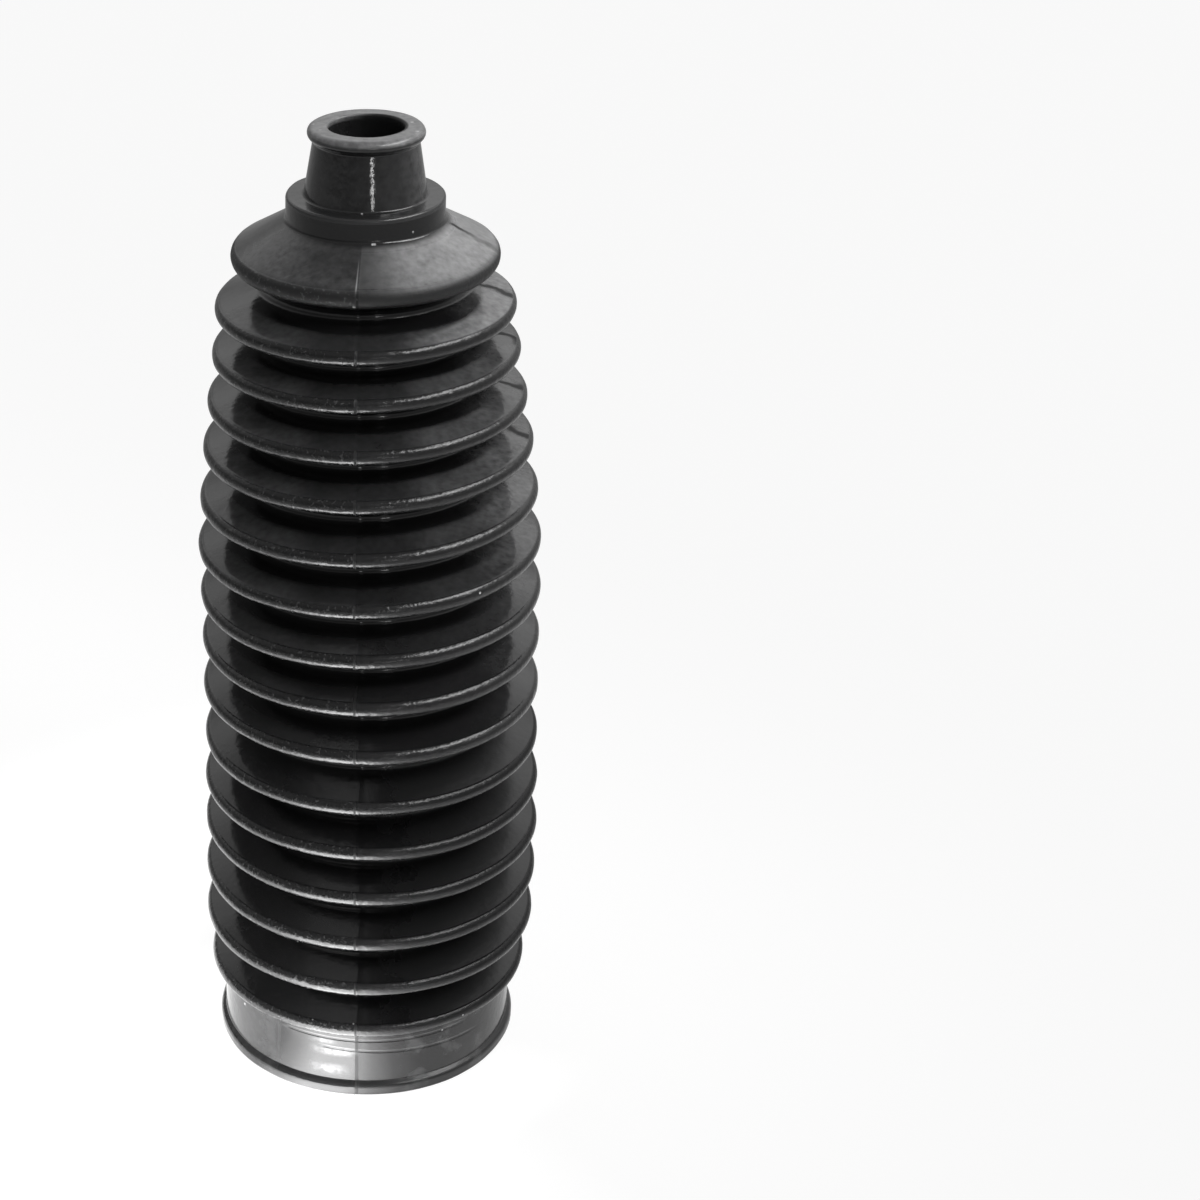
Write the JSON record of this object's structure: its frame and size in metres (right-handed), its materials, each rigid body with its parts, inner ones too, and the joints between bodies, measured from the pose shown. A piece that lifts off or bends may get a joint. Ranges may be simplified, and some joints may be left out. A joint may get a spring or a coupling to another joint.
{
  "type": "rubber bellows boot",
  "caption": "Moulded rubber bellows boot, open at both ends: a narrow lipped neck on a collar, round ridged folds and a wide cuff with a rim.",
  "frame": {"origin": "centre of the cuff's foot, on the surface that the boot stands on", "axes": "+Z along the boot's axis, from the wide cuff to the narrow neck"},
  "size_m": [0.0694, 0.0694, 0.2],
  "materials": {
    "rubber": "smooth black rubber with a wet-looking moulded gloss"
  },
  "bodies": {
    "root": {"bellows_boot": "rubber"}
  },
  "joints": []
}
